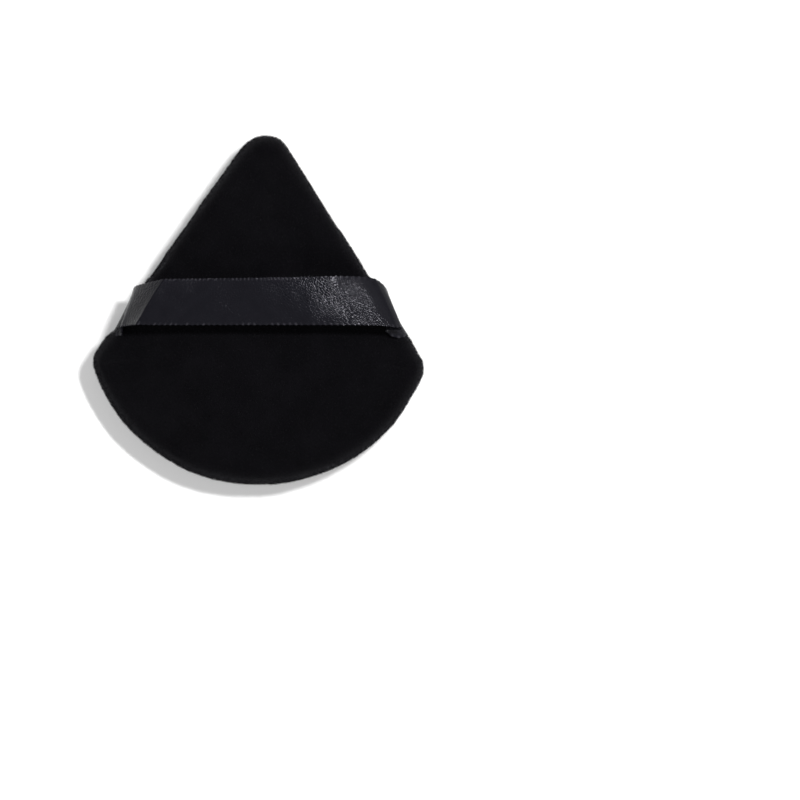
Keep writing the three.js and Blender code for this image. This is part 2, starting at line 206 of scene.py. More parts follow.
def make_object(name, points, faces, material=None, smooth=True):
    """A new mesh object in the scene."""
    mesh = bpy.data.meshes.new(name)
    mesh.from_pydata([tuple(p) for p in points], [], [tuple(f) for f in faces])
    mesh.validate()
    mesh.polygons.foreach_set("use_smooth", [smooth] * len(mesh.polygons))
    if material:
        mesh.materials.append(material)
    piece = bpy.data.objects.new(name, mesh)
    bpy.context.scene.collection.objects.link(piece)
    return piece


def ring_mesh(stations, direction):
    """Points and faces of a closed body through level rings, each (inset, share of the way out from
    the crown's middle, height from the seam). Its two ends are poles."""
    points = []
    for inset, share, height in stations:
        ring = CROWN_CENTRE + (outline(inset) - CROWN_CENTRE) * share
        z = np.full((len(ring), 1), SEAM_Z + direction * height)
        points.append(np.hstack([ring, z]))
    count = len(stations) * RING_SIZE
    faces = []
    for level in range(len(stations) - 1):
        for i in range(RING_SIZE):
            here, beside = level * RING_SIZE + i, level * RING_SIZE + (i + 1) % RING_SIZE
            faces.append((here, here + RING_SIZE, beside + RING_SIZE, beside))
    last = (len(stations) - 1) * RING_SIZE
    for i in range(RING_SIZE):
        beside = (i + 1) % RING_SIZE
        faces.append((beside, count, i))
        faces.append((last + i, count + 1, last + beside))
    poles = [(*CROWN_CENTRE, SEAM_Z + direction * stations[k][2]) for k in (0, -1)]
    points = np.vstack([*points, poles])
    if direction < 0:
        faces = [face[::-1] for face in faces]
    return points, faces


def crown_stations(section, drop, steps):
    """Rings over a crowned face, from next to its middle to its shoulder."""
    stations = []
    for share in np.linspace(INNERMOST_SHARE, 1, steps):
        height = section["shoulder"] + section["crown"] * (1 - share * share)
        stations.append((EDGE_WIDTH, share, min(height, section["flat"]) - drop))
    return stations


def edge_stations(width, rise, steps):
    """Rings round an edge: a quarter ellipse from the shoulder down to the side's fullest part."""
    angles = np.linspace(math.pi / 2, 0, steps + 1)[1:]
    return [
        (EDGE_WIDTH - width * math.cos(a), 1.0, BULGE_HEIGHT + rise * math.sin(a))
        for a in angles
    ]


def cover_stations(section):
    """The rings of one cover, and how many of them make its outer surface."""
    seam_angle = math.acos((EDGE_WIDTH - SEAM_INSET) / EDGE_WIDTH)
    tuck = (BULGE_HEIGHT - SEAM_HALF_GAP) / math.sin(seam_angle)
    outer = crown_stations(section, GROUND, CROWN_RINGS)
    rise = section["shoulder"] - BULGE_HEIGHT - GROUND
    outer += edge_stations(EDGE_WIDTH - GROUND, rise, EDGE_RINGS)
    for angle in np.linspace(0, seam_angle, SEAM_RINGS + 1)[1:]:
        width = EDGE_WIDTH - GROUND * (1 - angle / seam_angle)
        height = BULGE_HEIGHT - tuck * math.sin(angle)
        outer.append((EDGE_WIDTH - width * math.cos(angle), 1.0, height))
    inner_height = SEAM_HALF_GAP + CLOTH
    inner = [
        (ALLOWANCE_INSET, ALLOWANCE_SHARE, SEAM_HALF_GAP),
        (ALLOWANCE_INSET, ALLOWANCE_SHARE, inner_height),
        (CLOTH, 1.0, inner_height),
    ]
    inner += edge_stations(EDGE_WIDTH - CLOTH, rise + GROUND - CLOTH, INNER_EDGE_RINGS)[::-1]
    inner += crown_stations(section, CLOTH, LINING_CROWN_RINGS)[::-1]
    return outer + inner, len(outer)


def foam_stations():
    """The foam block fills both covers and is grooved for their turned-in allowances."""
    groove = SEAM_HALF_GAP + FOAM_DROP

    def half(section):
        rise = section["shoulder"] - BULGE_HEIGHT - FOAM_DROP
        rings = crown_stations(section, FOAM_DROP, FOAM_CROWN_RINGS)
        rings += edge_stations(EDGE_WIDTH - FOAM_DROP, rise, INNER_EDGE_RINGS)
        rings[-1] = (FOAM_DROP, 1.0, groove)
        rings.append((ALLOWANCE_INSET, FOAM_GROOVE_SHARE, groove))
        return rings

    lower = [(inset, share, -height) for inset, share, height in half(FACE)]
    return half(BACK) + lower[::-1]


def fractal(points, size, seed, octaves=2):
    """Smooth noise from about -1 to 1 at each point, with features of a given size."""
    shift = Vector((seed * 1.7, seed * 3.1, seed * 0.9))
    exponent, lacunarity = 1.0, 2.0
    places = (Vector(p) / size + shift for p in points)
    return np.array([
        noise.fractal(place, exponent, lacunarity, octaves, noise_basis="PERLIN_ORIGINAL")
        for place in places
    ])


def point_normals(piece):
    normals = np.empty(len(piece.data.vertices) * 3)
    piece.data.vertices.foreach_get("normal", normals)
    return normals.reshape(-1, 3)


def read_points(mesh):
    points = np.empty(len(mesh.vertices) * 3)
    mesh.vertices.foreach_get("co", points)
    return points.reshape(-1, 3)


def write_points(piece, points):
    piece.data.vertices.foreach_set("co", points.ravel())
    piece.data.update()


# Materials


def new_material(name):
    material = bpy.data.materials.new(name)
    material.use_nodes = True
    nodes = material.node_tree.nodes
    return material, nodes, material.node_tree.links, nodes["Principled BSDF"]


def set_inputs(node, **values):
    """Set plain values by the names of their sockets, with _ for a space."""
    for key, value in values.items():
        node.inputs[key.replace("_", " ")].default_value = value


def feed(links, socket, value):
    """Give a socket a plain number, or the value that another socket puts out."""
    if isinstance(value, (int, float)):
        socket.default_value = value
    else:
        links.new(value, socket)


def object_place(nodes):
    return nodes.new("ShaderNodeTexCoord").outputs["Object"]


def math_node(nodes, links, operation, first, second=0.5, third=0.0):
    """A Math node whose inputs are sockets or plain numbers."""
    node = nodes.new("ShaderNodeMath")
    node.operation = operation
    for socket, value in zip(node.inputs, (first, second, third)):
        feed(links, socket, value)
    return node.outputs[0]


def noise_node(nodes, links, vector, size, detail=2.0, roughness=0.5):
    node = nodes.new("ShaderNodeTexNoise")
    set_inputs(node, Scale=1.0 / size, Detail=detail, Roughness=roughness)
    links.new(vector, node.inputs["Vector"])
    return node.outputs["Fac"]


def ramp_node(nodes, links, value, stops):
    node = nodes.new("ShaderNodeValToRGB")
    ramp = node.color_ramp
    while len(ramp.elements) < len(stops):
        ramp.elements.new(0.5)
    for element, (place, colour) in zip(ramp.elements, stops):
        element.position = place
        element.color = (*colour, 1.0)
    links.new(value, node.inputs["Fac"])
    return node.outputs["Color"]


def range_node(nodes, links, value, source, target):
    node = nodes.new("ShaderNodeMapRange")
    for key, number in zip(("From Min", "From Max", "To Min", "To Max"), (*source, *target)):
        node.inputs[key].default_value = number
    links.new(value, node.inputs["Value"])
    return node.outputs["Result"]


def mix_colours(nodes, links, share, first, second):
    node = nodes.new("ShaderNodeMix")
    node.data_type = "RGBA"
    colour_a, colour_b = (socket for socket in node.inputs if socket.type == "RGBA")
    links.new(share, node.inputs["Factor"])
    links.new(first, colour_a)
    colour_b.default_value = (*second, 1.0)
    return next(socket for socket in node.outputs if socket.type == "RGBA")


def bump_node(nodes, links, height, distance, strength, below=None):
    """A bump whose strength is a number or a socket. It may ride on another bump, below it."""
    node = nodes.new("ShaderNodeBump")
    set_inputs(node, Distance=distance)
    feed(links, node.inputs["Strength"], strength)
    links.new(height, node.inputs["Height"])
    if below is not None:
        links.new(below, node.inputs["Normal"])
    return node.outputs["Normal"]


def velour_cloth(name, dark, pale):
    """Short dense pile seen as a surface: matt, with a soft nap."""
    material, nodes, links, shader = new_material(name)
    place = object_place(nodes)
    nap = noise_node(nodes, links, place, size=7 * MM, detail=3.0, roughness=0.55)
    grain = noise_node(nodes, links, place, size=0.28 * MM, roughness=0.6)
    nap_share = math_node(nodes, links, "MULTIPLY", nap, 0.55)
    both = math_node(nodes, links, "MULTIPLY_ADD", grain, 0.45, nap_share)
    colour = ramp_node(nodes, links, both, [(0.34, dark), (0.66, pale)])
    links.new(colour, shader.inputs["Base Color"])
    tufts = noise_node(nodes, links, place, size=0.9 * MM)
    tufted = bump_node(nodes, links, tufts, distance=0.10 * MM, strength=0.7)
    grained = bump_node(nodes, links, grain, distance=0.08 * MM, strength=0.8, below=tufted)
    links.new(grained, shader.inputs["Normal"])
    set_inputs(shader, Roughness=1.0, Specular_IOR_Level=0.01)
    set_inputs(shader, Sheen_Weight=0.12, Sheen_Roughness=0.5, Sheen_Tint=(0.85, 0.85, 0.92, 1.0))
    return material


def velour_pile(name, colour):
    """The fibres themselves."""
    material, _, _, shader = new_material(name)
    set_inputs(shader, Base_Color=(*colour, 1.0), Roughness=0.9, Specular_IOR_Level=0.015)
    return material


# Satin: sizes of its warp floats, and the grain that glints by the right bend and on the left ear.
# The grain rises and falls along the ribbon between places across the puff, on slanted lines.
FLOAT_LENGTH, FLOAT_WIDTH, FLOAT_GAP = 1.1 * MM, 0.15 * MM, 0.035 * MM
FLOAT_STAGGER = 0.38
GRAIN_START = (10.5 * MM, 16.5 * MM)
GRAIN_END = (20.2 * MM, 21.2 * MM)
GRAIN_SLANT = 0.75
LEFT_EAR_END = (-24.2 * MM, -23.2 * MM)
SELVAGE_PITCH = 1.02 * MM
TICK_BAND = (4.35 * MM, 4.75 * MM)
# Painted highlight: a lighter colour on the loops of the edges, for the light that they catch
TICK_HIGHLIGHT_COLOUR = (0.023, 0.0222, 0.027)


def warp_floats(nodes, links, flat):
    """1 on each long float of the warp, and 0 in the gaps between them."""
    bricks = nodes.new("ShaderNodeTexBrick")
    bricks.offset = FLOAT_STAGGER
    set_inputs(bricks, Scale=1.0, Brick_Width=FLOAT_LENGTH, Row_Height=FLOAT_WIDTH)
    set_inputs(bricks, Mortar_Size=FLOAT_GAP, Mortar_Smooth=1.0)
    links.new(flat, bricks.inputs["Vector"])
    return math_node(nodes, links, "SUBTRACT", 1.0, bricks.outputs["Fac"])


def painted_tick_highlights(nodes, links, flat, along, across):
    """The uneven row of small loops on each edge of the ribbon, which carry a painted highlight."""
    from_middle = math_node(nodes, links, "ABSOLUTE", across)
    selvage = range_node(nodes, links, from_middle, TICK_BAND, (0.0, 1.0))
    phase = math_node(nodes, links, "MULTIPLY", along, 2 * math.pi / SELVAGE_PITCH)
    wave = math_node(nodes, links, "SINE", phase)
    loops = range_node(nodes, links, wave, (-0.2, 1.0), (0.0, 1.0))
    patches = noise_node(nodes, links, flat, size=1.3 * MM, detail=1.0)
    uneven = range_node(nodes, links, patches, (0.42, 0.62), (0.1, 1.0))
    tick_highlights = math_node(nodes, links, "MULTIPLY", selvage, loops)
    return math_node(nodes, links, "MULTIPLY", tick_highlights, uneven)


def grain_strength(nodes, links, along, across):
    """How strong the satin's grain is at each place of the ribbon."""
    aslant = math_node(nodes, links, "MULTIPLY_ADD", across, GRAIN_SLANT, along)
    rise = range_node(nodes, links, aslant, run_to(*GRAIN_START), (0.3, 1.2))
    fall = range_node(nodes, links, aslant, run_to(*GRAIN_END), (1.0, 0.12))
    ear = range_node(nodes, links, along, run_to(*LEFT_EAR_END), (0.8, 0.0))
    return math_node(nodes, links, "MULTIPLY_ADD", rise, fall, ear)


def satin(name):
    """Black satin: long floats of its warp glint where it bends, its edges are woven, and painted
    highlights lie on the edges' loops.
    """
    material, nodes, links, shader = new_material(name)
    uv = nodes.new("ShaderNodeUVMap")
    uv.uv_map = "ribbon"
    flat = uv.outputs["UV"]
    split = nodes.new("ShaderNodeSeparateXYZ")
    links.new(flat, split.inputs["Vector"])
    along, across = split.outputs["X"], split.outputs["Y"]
    cloudy = noise_node(nodes, links, flat, size=2.4 * MM)
    shades = [(0.3, (0.0030, 0.0029, 0.0048)), (0.7, (0.0042, 0.0041, 0.0063))]
    colour = ramp_node(nodes, links, cloudy, shades)
    tick_highlights = painted_tick_highlights(nodes, links, flat, along, across)
    # Painted highlight: the loops on the ribbon's edges get a lighter colour
    links.new(mix_colours(nodes, links, tick_highlights, colour, TICK_HIGHLIGHT_COLOUR), shader.inputs["Base Color"])
    specks = noise_node(nodes, links, flat, size=0.42 * MM, detail=0.0)
    roughness = range_node(nodes, links, specks, (0.35, 0.65), (0.135, 0.18))
    links.new(roughness, shader.inputs["Roughness"])
    strength = grain_strength(nodes, links, along, across)
    grained = bump_node(nodes, links, specks, distance=0.095 * MM, strength=strength)
    floats = warp_floats(nodes, links, flat)
    woven = bump_node(nodes, links, floats, distance=0.02 * MM, strength=0.3, below=grained)
    links.new(woven, shader.inputs["Normal"])
    set_inputs(shader, Specular_IOR_Level=0.8, Specular_Tint=(0.92, 0.91, 1.0, 1.0), IOR=1.14)
    return material


def thread(name):
    """Spun polyester thread."""
    material, nodes, links, shader = new_material(name)
    ply = noise_node(nodes, links, object_place(nodes), size=0.12 * MM)
    shades = [(0.35, (0.006, 0.006, 0.007)), (0.7, (0.016, 0.0155, 0.018))]
    links.new(ramp_node(nodes, links, ply, shades), shader.inputs["Base Color"])
    spun = bump_node(nodes, links, ply, distance=0.03 * MM, strength=0.8)
    links.new(spun, shader.inputs["Normal"])
    set_inputs(shader, Roughness=0.6, Specular_IOR_Level=0.3)
    return material


def foam(name):
    """Open-cell foam, cream, pitted with fine open cells, with painted shade darkening each pit."""
    material, nodes, links, shader = new_material(name)
    cells = nodes.new("ShaderNodeTexVoronoi")
    set_inputs(cells, Scale=1.0 / (0.5 * MM))
    links.new(object_place(nodes), cells.inputs["Vector"])
    pore_depth_and_shade = cells.outputs["Distance"]
    # Painted shade: the colour darkens into each pit, where the bump is deepest
    shades = [(0.1, (0.55, 0.52, 0.45)), (0.5, (0.8, 0.77, 0.7))]
    links.new(ramp_node(nodes, links, pore_depth_and_shade, shades), shader.inputs["Base Color"])
    porous = bump_node(nodes, links, pore_depth_and_shade, distance=0.15 * MM, strength=0.8)
    links.new(porous, shader.inputs["Normal"])
    set_inputs(shader, Roughness=0.95)
    return material


# The covers and their pile. Cloth is settled on a coarse copy of the surface, ten times as large.

CLOTH_SCALE = 10.0
CLOTH_FRAMES = 20
CLOTH_CAP = 0.7 * MM
CLOTH_SIDEWAYS_SHARE = 0.4
CLOTH_RING_STEP, CLOTH_ROUND_STEP = 3, 4
SWELL_SIZE, SWELL_DEPTH, SWELL_SEED = 11 * MM, 0.14 * MM, 3
PUCKER_SIZE, PUCKER_DEPTH, PUCKER_SEED = 2.1 * MM, 0.26 * MM, 9
PUCKER_HEIGHT = 3.4 * MM
PUCKER_FADE = 1.5


def settled_shift(points, ring_count, pole, direction):
    """Blow a coarse copy of a cover's outer surface up as cloth held at the seam, and return how
    far each of the fine surface's points moves."""
    rings = np.arange(0, ring_count, CLOTH_RING_STEP)
    rings[-1] = ring_count - 1
    fine = points[: ring_count * RING_SIZE].reshape(ring_count, RING_SIZE, 3)
    coarse = fine[rings][:, ::CLOTH_ROUND_STEP]
    levels, size = coarse.shape[:2]
    places = np.vstack([coarse.reshape(-1, 3), points[pole]]) * CLOTH_SCALE
    faces = []
    for near in range(0, (levels - 1) * size, size):
        far = near + size
        for i in range(size):
            j = (i + 1) % size
            faces.append((near + i, far + i, far + j, near + j))
    faces += [((i + 1) % size, levels * size, i) for i in range(size)]
    if direction < 0:
        faces = [face[::-1] for face in faces]
    cloth = make_object("settling_cloth", places, faces)
    pins = cloth.vertex_groups.new(name="seam")
    pins.add(list(range((levels - 1) * size, levels * size)), 1.0, "REPLACE")
    modifier = cloth.modifiers.new("cloth", "CLOTH")
    settings = modifier.settings
    settings.quality = 8
    settings.mass = 0.2
    settings.tension_stiffness = settings.compression_stiffness = 25.0
    settings.shear_stiffness = 12.0
    settings.bending_stiffness = 1.5
    settings.use_pressure = True
    settings.uniform_pressure_force = 0.25
    settings.shrink_min = -0.01
    settings.vertex_group_mass = "seam"
    settings.effector_weights.gravity = 0.0
    modifier.collision_settings.use_collision = False
    modifier.point_cache.frame_start, modifier.point_cache.frame_end = 1, CLOTH_FRAMES
    scene = bpy.context.scene
    for step in range(1, CLOTH_FRAMES + 1):
        scene.frame_set(step)
    evaluated = cloth.evaluated_get(bpy.context.evaluated_depsgraph_get())
    moved = (read_points(evaluated.data) - places) / CLOTH_SCALE
    bpy.data.objects.remove(cloth)
    scene.frame_set(1)
    moved[:, :2] *= CLOTH_SIDEWAYS_SHARE
    length = np.linalg.norm(moved, axis=1, keepdims=True)
    moved *= np.minimum(1, CLOTH_CAP / np.maximum(length, TINY))
    grid = moved[:-1].reshape(levels, size, 3)
    closed = np.concatenate([grid, grid[:, :1]], 1)
    round_at = np.arange(RING_SIZE) / CLOTH_ROUND_STEP
    first = round_at.astype(int)
    share = (round_at - first)[None, :, None]
    around = closed[:, first] * (1 - share) + closed[:, first + 1] * share
    shift = np.zeros_like(points)
    for k in range(ring_count):
        at = np.interp(k, rings, np.arange(levels))
        low = min(int(at), levels - 2)
        part = at - low
        ring = slice(k * RING_SIZE, (k + 1) * RING_SIZE)
        shift[ring] = around[low] * (1 - part) + around[low + 1] * part
    shift[pole] = moved[-1]
    return shift


def soft_shape(points, direction):
    """Unevenness of a stuffed pad: a slow swell, and small puckers that fade away from the seam."""
    height = np.abs(points[:, 2] - SEAM_Z)
    near_seam = np.clip(1 - height / PUCKER_HEIGHT, 0, 1) ** PUCKER_FADE
    swell = fractal(points, SWELL_SIZE, SWELL_SEED + direction) * SWELL_DEPTH
    level = points * (1, 1, 0)
    pucker = fractal(level, PUCKER_SIZE, PUCKER_SEED + direction, octaves=1) * PUCKER_DEPTH
    return swell + pucker * near_seam


def make_cover(name, section, direction, material):
    """One velour cover, and which of its points are on its outer surface."""
    stations, outer_rings = cover_stations(section)
    points, faces = ring_mesh(stations, direction)
    cover = make_object(name, points, faces, material)
    pole = len(stations) * RING_SIZE
    outer_points = np.zeros(len(points), bool)
    outer_points[: outer_rings * RING_SIZE] = True
    outer_points[pole] = True
    shift = soft_shape(points, direction)
    seam_ring = np.zeros(len(points), bool)
    seam_ring[(outer_rings - 1) * RING_SIZE : outer_rings * RING_SIZE] = True
    shift[~outer_points | seam_ring] = 0
    puffed = points + point_normals(cover) * shift[:, None]
    puffed += settled_shift(points, outer_rings, pole, direction)
    points = sewn(puffed)
    points[:, 2] = np.maximum(points[:, 2], GROUND)
    write_points(cover, points)
    return cover, outer_points


# Fibres lean with the nap, stand denser on the sides than on the flats (where the normal's height
# is over a limit), and are pressed down under the ribbon's feet. Their roots are in the cloth.
NAP = np.array([0.15, 0.35, 0.0])
NAP_SPREAD = 0.42
FIBRE_LENGTH_MM = (0.34, 0.60)
FIBRE_HALF_WIDTH_MM = (0.030, 0.048)
FIBRE_ROOT = 0.08 * MM
FIBRE_SIDES = 3
FIBRE_FLOOR = 0.02 * MM
SIDE_DENSITY = 4.0
FLAT_NORMAL_Z = 0.7
PRESSED_ALONG, PRESSED_INWARD, PRESSED_TOP_Z = 5.0 * MM, 3.2 * MM, 9.6 * MM
PRESSED_SHARE = 0.25


def make_pile(name, cover, outer_points, count, direction, material):
    """A coat of short fibres: closed spikes that stand on the cover's outer surface."""
    rng = np.random.default_rng(SEED + direction)
    mesh = cover.data
    mesh.calc_loop_triangles()
    corners = np.empty(len(mesh.loop_triangles) * 3, int)
    mesh.loop_triangles.foreach_get("vertices", corners)
    corners = corners.reshape(-1, 3)
    corners = corners[outer_points[corners].all(1)]
    points, normals = read_points(mesh), point_normals(cover)
    a, b, c = (points[corners[:, k]] for k in range(3))
    area = np.linalg.norm(np.cross(b - a, c - a), axis=1)
    on_side = np.abs(normals[corners[:, 0], 2]) < FLAT_NORMAL_Z
    share = area * np.where(on_side, SIDE_DENSITY, 1.0)
    chosen = rng.choice(len(corners), count, p=share / share.sum())
    u, v = rng.random((2, count))
    fold = u + v > 1
    u[fold], v[fold] = 1 - u[fold], 1 - v[fold]
    weights = np.stack([1 - u - v, u, v], 1)[:, :, None]
    root = (points[corners[chosen]] * weights).sum(1)
    up = unit((normals[corners[chosen]] * weights).sum(1))
    lean = NAP + rng.normal(0, NAP_SPREAD, (count, 3))
    lean -= up * (lean * up).sum(1)[:, None]
    along = unit(up + lean)
    length = rng.uniform(*FIBRE_LENGTH_MM, count)[:, None] * MM
    half_width = rng.uniform(*FIBRE_HALF_WIDTH_MM, count)[:, None] * MM
    along_foot, out_of_foot, _ = side_frame(root)
    under_ribbon = (np.abs(along_foot) < PRESSED_ALONG) & (out_of_foot > -PRESSED_INWARD)
    pressed = under_ribbon & (root[:, 2] > SEAM_Z) & (root[:, 2] < PRESSED_TOP_Z)
    length[pressed] *= PRESSED_SHARE
    side = unit(np.cross(along, rng.normal(0, 1, (count, 3))))
    third = np.cross(along, side)
    start = root - along * FIBRE_ROOT
    turns = [k * 2 * math.pi / FIBRE_SIDES for k in range(FIBRE_SIDES)]
    ring = [start + half_width * (math.cos(t) * side + math.sin(t) * third) for t in turns]
    tip = root + along * length
    tip[:, 2] = np.maximum(tip[:, 2], FIBRE_FLOOR)
    spikes = np.stack([*ring, tip], 1).reshape(-1, 3)
    first = np.arange(count)[:, None] * (FIBRE_SIDES + 1)
    sides_and_root = ((0, 1, 3), (1, 2, 3), (2, 0, 3), (0, 2, 1))
    faces = np.concatenate([first + np.array(face) for face in sides_and_root])
    return make_object(name, spikes, faces, material, smooth=False)


# The threads

SEAM_THREAD = {"diameter": 0.4 * MM, "inset": 0.88 * MM, "turn": 1.5 * MM}
CLOSING_THREAD = {"diameter": 0.26 * MM, "inset": 0.55 * MM, "turn": 0.9 * MM}
TURNING_GAP = 30.0 * MM
SEAM_END_TO_GAP = 0.8 * MM
CLOSING_PITCH = 2.4 * MM
CLOSING_REACH = 0.28 * MM
THREAD_STEP = 0.10 * MM
PLY_SIDES = 6
PLY_OFFSET_SHARE, PLY_RADIUS_SHARE = 0.22, 0.27


def twisted_thread(name, path, shape, up, material):
    """Two plies twisted round a path, with closed ends."""
    run = np.concatenate([[0], np.cumsum(np.linalg.norm(np.diff(path, axis=0), axis=1))])
    at = np.linspace(0, run[-1], int(run[-1] / THREAD_STEP) + 1)
    path = np.stack([np.interp(at, run, path[:, k]) for k in range(3)], 1)
    along = unit(np.gradient(path, axis=0))
    sideways = unit(np.cross(along, up))
    upright = np.cross(sideways, along)
    angle = (np.arange(PLY_SIDES) * 2 * math.pi / PLY_SIDES)[None, :, None]
    ring = np.cos(angle) * sideways[:, None] + np.sin(angle) * upright[:, None]
    ring = ring * shape["diameter"] * PLY_RADIUS_SHARE
    points, faces = [], []
    for ply in (0, 1):
        twist = at / shape["turn"] * 2 * math.pi + ply * math.pi
        off = np.cos(twist)[:, None] * sideways + np.sin(twist)[:, None] * upright
        centre = path + off * shape["diameter"] * PLY_OFFSET_SHARE
        start = ply * len(path) * PLY_SIDES
        points.append((centre[:, None] + ring).reshape(-1, 3))
        for i in range(len(path) - 1):
            for k in range(PLY_SIDES):
                a = start + i * PLY_SIDES + k
                b = start + i * PLY_SIDES + (k + 1) % PLY_SIDES
                faces.append((a, a + PLY_SIDES, b + PLY_SIDES, b))
        last = start + (len(path) - 1) * PLY_SIDES
        faces.append(tuple(range(start, start + PLY_SIDES)))
        faces.append(tuple(range(last + PLY_SIDES - 1, last - 1, -1)))
    return make_object(name, np.vstack(points), faces, material)


def seam_path():
    """All round the puff in the seam, but for the turning gap in the middle of the base."""
    ring = outline(SEAM_THREAD["inset"])
    ring = np.roll(ring, -int(np.argmin(ring[:, 1])), axis=0)
    gap = TURNING_GAP / 2 + SEAM_END_TO_GAP
    ring = ring[np.hypot(ring[:, 0], ring[:, 1] - BASE_Y) > gap]
    return sewn(np.column_stack([ring, np.full(len(ring), SEAM_Z)]))


def closing_path():
    """A zigzag across the seam from one cover to the other."""
    count = round(TURNING_GAP / CLOSING_PITCH) * 2
    angle = (np.arange(count + 1) / count - 0.5) * TURNING_GAP / BASE_RADIUS
    radius = BASE_RADIUS - CLOSING_THREAD["inset"]
    height = np.where(np.arange(count + 1) % 2, CLOSING_REACH, -CLOSING_REACH)
    x, y = radius * np.sin(angle), BASE_CENTRE_Y - radius * np.cos(angle)
    return sewn(np.column_stack([x, y, SEAM_Z + height]))


# The ribbon. Control points in mm of its edge towards the tip and its edge towards the base, from
# the left end to the right end. A row with F is a place at a foot: side, along the side, out of it,
# height. The others are x, y, height. A row that is repeated makes a crease.

F = "foot"
TIP_EDGE = [
    (F, -1, 5.0, -4.6, 6.0), (F, -1, 4.9, -2.6, 6.0), (F, -1, 4.6, -1.3, 6.1),
    (F, -1, 4.2, 0.1, 7.0), (F, -1, 3.9, 1.25, 8.6), (-26.95, 3.9, 10.0),
    (-26.5, 4.3, 11.3), (-25.0, 4.75, 13.6), (-22.8, 5.25, 16.0),
    (-20.2, 5.8, 18.1), (-20.2, 5.8, 18.1), (-20.2, 5.8, 18.1),
    (-18.6, 5.87, 18.05), (-13.0, 6.07, 17.9), (-8.0, 6.27, 17.95), (-3.0, 6.45, 18.15),
    (2.0, 6.65, 18.25), (7.0, 6.9, 18.22), (10.5, 7.05, 18.15), (13.0, 7.2, 18.02),
    (15.0, 7.3, 17.76), (17.0, 7.4, 17.36), (19.2, 7.45, 16.5), (21.4, 7.4, 15.55),
    (23.1, 7.3, 14.8), (24.3, 7.05, 14.2), (24.3, 7.05, 14.2),
    (25.9, 6.2, 13.3), (27.0, 4.9, 12.2), (F, 1, 3.5, 1.4, 10.8),
    (F, 1, 4.2, 1.25, 9.3), (F, 1, 4.7, 0.95, 8.0), (F, 1, 4.9, 0.3, 6.8),
    (F, 1, 5.0, -1.1, 6.1), (F, 1, 5.0, -2.6, 6.0), (F, 1, 5.0, -4.6, 6.0),
]
BASE_EDGE = [
    (F, -1, -4.8, -4.6, 6.0), (F, -1, -4.9, -2.9, 6.0), (F, -1, -5.4, -1.6, 6.2),
    (F, -1, -6.2, -0.3, 7.5), (F, -1, -7.0, -0.6, 9.6), (-28.4, -6.5, 11.8),
    (-30.1, -4.5, 12.3), (-28.4, -4.3, 13.9), (-27.05, -4.1, 16.0),
    (-25.9, -3.95, 18.15), (-25.9, -3.95, 18.15), (-25.9, -3.95, 18.15),
    (-24.0, -4.0, 18.0), (-17.0, -3.85, 17.95), (-10.0, -3.65, 17.95), (-3.3, -3.45, 18.15),
    (5.0, -3.25, 18.22), (13.0, -3.05, 18.2), (18.5, -2.9, 18.17), (21.5, -2.85, 18.03),
    (23.5, -2.8, 17.82), (25.0, -2.8, 17.64), (26.3, -2.85, 17.46), (27.5, -2.9, 17.15),
    (28.5, -3.0, 16.7), (29.3, -3.15, 16.2), (29.3, -3.15, 16.2),
    (30.7, -2.9, 14.6), (30.0, -3.9, 13.5), (26.0, -3.3, 13.1),
    (28.9, -5.6, 11.9), (F, 1, -5.8, 0.2, 9.9), (F, 1, -5.2, 0.75, 7.8),
    (F, 1, -4.8, -0.6, 6.2), (F, 1, -4.6, -2.6, 6.0), (F, 1, -4.6, -4.6, 6.0),
]

# At the right bend the ribbon's middle bows back from its edges, between places across the puff
BEND_BOW = 1.8 * MM
BEND_START, BEND_FULL, BEND_FADE, BEND_END = (value * MM for value in (9.0, 16.0, 22.0, 27.0))


def control_points(table):
    places = []
    for row in table:
        if row[0] == F:
            _, side, along, out, height = row
            place = np.array([FOOT_X, FOOT_Y]) + (ALONG_SIDE * along + SIDE_NORMAL * out) * MM
            places.append((place[0] * side, place[1], height * MM))
        else:
            places.append(tuple(value * MM for value in row))
    return np.array(places)


def smooth_curve(controls, count):
    """Points along the controls' uniform cubic B-spline, which starts and ends on outer ones."""
    before, after = controls[0] * 2 - controls[1], controls[-1] * 2 - controls[-2]
    padded = np.vstack([before, controls, after])
    spans = len(padded) - 3
    at = np.linspace(0, spans, count) * (1 - TINY)
    k = at.astype(int)
    t = (at - k)[:, None]
    return (
        (1 - t) ** 3 * padded[k]
        + (3 * t**3 - 6 * t**2 + 4) * padded[k + 1]
        + (-3 * t**3 + 3 * t**2 + 3 * t + 1) * padded[k + 2]
        + t**3 * padded[k + 3]
    ) / 6


RIBBON_THICKNESS = 0.3 * MM
RIBBON_STEP = 0.11 * MM
RIBBON_COLUMNS = 29
SELVAGE_WIDTH = 0.55 * MM
SELVAGE_SCALLOP = 0.12 * MM
SELVAGE_THINNING, SELVAGE_BEAD = 0.28, 0.045 * MM
WAVE_SIZE, WAVE_DEPTH, WAVE_SEED = 8 * MM, 0.16 * MM, 21
EDGE_CURL = -0.10 * MM
FREE_FROM_Z, FREE_RISE = 7 * MM, 6 * MM
SEWN_SHARE, SEWN_RISE = 0.8, 1 * MM
CURVE_POINTS = 4000
CREASE_ANGLE = math.radians(50)
FOOT_TOP_Z = 15.0 * MM


